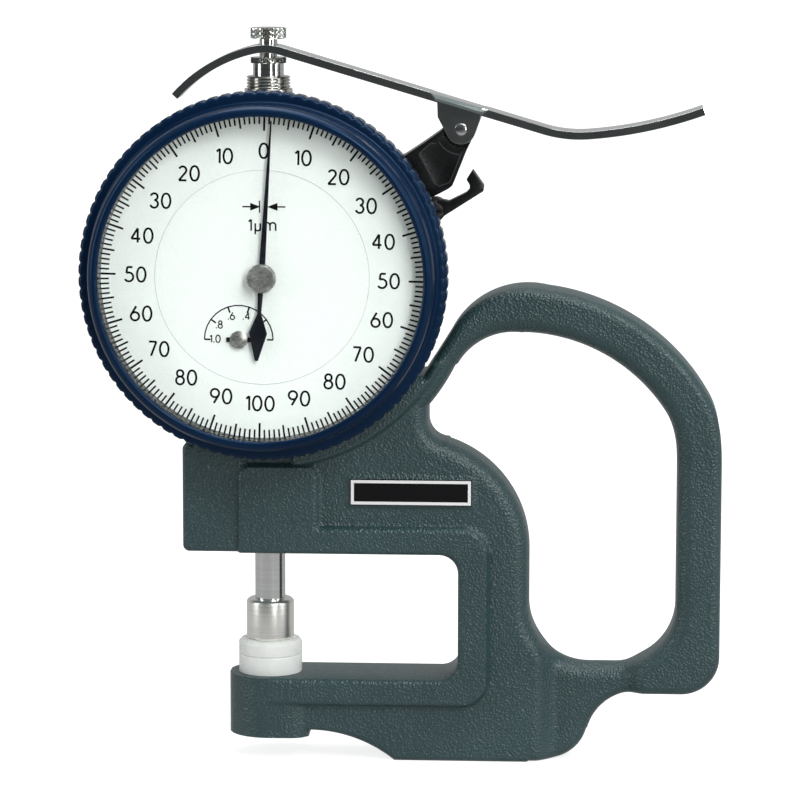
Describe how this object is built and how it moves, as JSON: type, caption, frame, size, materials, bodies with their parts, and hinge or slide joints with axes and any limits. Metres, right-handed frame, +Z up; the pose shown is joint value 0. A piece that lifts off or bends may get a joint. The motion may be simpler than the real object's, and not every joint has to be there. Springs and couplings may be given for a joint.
{
  "type": "dial thickness gauge",
  "caption": "Hand-held dial thickness gauge: cast C-frame with a closed handle, dial indicator, lifting lever and flat ceramic contact faces.",
  "frame": {"origin": "middle of the flat foot under the frame's column", "axes": "+X from the throat's mouth towards the handle, -Y towards the reader of the dial, +Z up"},
  "size_m": [0.0995, 0.0264, 0.1151],
  "materials": {
    "grain_paint": "grained dark grey paint",
    "plate_black": "gloss black with a pale border",
    "ceramic_white": "polished",
    "case_dark": "satin",
    "screw_steel": "satin",
    "bright_steel": "polished",
    "bronze": "machined",
    "black_steel": "blackened",
    "brass_plate": "lacquered",
    "ruby": "polished",
    "dial_white": "matt, printed",
    "black_plastic": "satin black",
    "spring_steel": "bright",
    "turned_steel": "fine turned",
    "hand_dark": "satin",
    "bezel_navy": "satin",
    "clear_crystal": "clear",
    "lever_chrome": "polished"
  },
  "bodies": {
    "frame": {"frame_casting": "grain_paint", "name_plate": "plate_black", "anvil": "ceramic_white", "indicator_case": "case_dark", "back_cover": "case_dark", "back_cover_screws": "screw_steel", "stem": "bright_steel", "stem_bush": "bronze", "stem_set_screw": "black_steel", "upper_bush": "bright_steel", "base_plate": "brass_plate", "front_plate": "brass_plate", "plate_pillars": "brass_plate", "plate_screws": "screw_steel", "jewel_bearings": "ruby", "dial_centre": "dial_white", "lever_bracket": "black_plastic", "bracket_screws": "black_steel", "guide_block": "brass_plate", "guide_screws": "screw_steel", "return_spring": "spring_steel", "spring_post": "screw_steel", "hairspring": "spring_steel", "hairspring_stud": "screw_steel", "rack_bridge": "brass_plate", "bridge_screws": "screw_steel", "clamp_screw": "black_steel"},
    "hand": {"centre_arbor": "bright_steel", "main_hand": "hand_dark", "hand_hub": "turned_steel"},
    "plunger": {"spindle": "bright_steel", "guide_pin": "bright_steel", "contact_holder": "turned_steel", "contact_tip": "ceramic_white", "lifting_knob": "turned_steel", "lifting_collar": "turned_steel"},
    "lever": {"lift_lever": "lever_chrome", "lever_pin": "bright_steel"},
    "counter": {"counter_arbor": "bright_steel", "counter_gear": "brass_plate", "counter_hand": "hand_dark"},
    "rack_wheel": {"rack_pinion": "bright_steel", "rack_gear": "brass_plate"},
    "intermediate_wheel": {"intermediate_pinion": "bright_steel", "intermediate_gear": "brass_plate"},
    "bezel": {"bezel_ring": "bezel_navy", "crystal": "clear_crystal", "crystal_spacer": "black_plastic", "dial_ring": "dial_white"},
    "clamp": {"bezel_clamp": "black_plastic"}
  },
  "joints": [
    {"name": "hand_turn", "type": "hinge", "parent": "frame", "child": "hand", "pos_m": [-0.0315, 0, 0.0774], "axis": [0, 1, 0], "range_deg": [0, 1802]},
    {"name": "spindle_slide", "type": "slide", "parent": "frame", "child": "plunger", "axis": [0, 0, 1], "range_m": [0, 0.001], "stiffness_N_per_m": 60, "springref_m": -0.023, "deforming": ["return_spring"]},
    {"name": "lever_swing", "type": "hinge", "parent": "frame", "child": "lever", "pos_m": [-0.0014, 0, 0.0996], "axis": [0, 1, 0], "range_deg": [0, 1.95]},
    {"name": "counter_turn", "type": "hinge", "parent": "frame", "child": "counter", "pos_m": [-0.0351, 0, 0.0678], "axis": [0, 1, 0], "range_deg": [-181, 0]},
    {"name": "rack_turn", "type": "hinge", "parent": "frame", "child": "rack_wheel", "pos_m": [-0.02801, 0, 0.08935], "axis": [0, 1, 0], "range_deg": [0, 36.5]},
    {"name": "intermediate_turn", "type": "hinge", "parent": "frame", "child": "intermediate_wheel", "pos_m": [-0.02285, 0, 0.08055], "axis": [0, 1, 0], "range_deg": [-271, 0]},
    {"name": "bezel_turn", "type": "hinge", "parent": "frame", "child": "bezel", "pos_m": [-0.0315, 0, 0.0774], "axis": [0, 1, 0], "continuous": true},
    {"name": "clamp_turn", "type": "hinge", "parent": "frame", "child": "clamp", "pos_m": [-0.0054, 0, 0.0871], "axis": [0, 1, 0], "range_deg": [0, 15]}
  ],
  "couplings": [
    {"joint": "hand_turn", "follows": "spindle_slide", "rad_per_m": 31416},
    {"joint": "lever_swing", "follows": "spindle_slide", "rad_per_m": 33.223},
    {"joint": "counter_turn", "follows": "spindle_slide", "rad_per_m": -3141.6},
    {"joint": "rack_turn", "follows": "spindle_slide", "rad_per_m": 628.32},
    {"joint": "intermediate_turn", "follows": "spindle_slide", "rad_per_m": -4712.4}
  ]
}
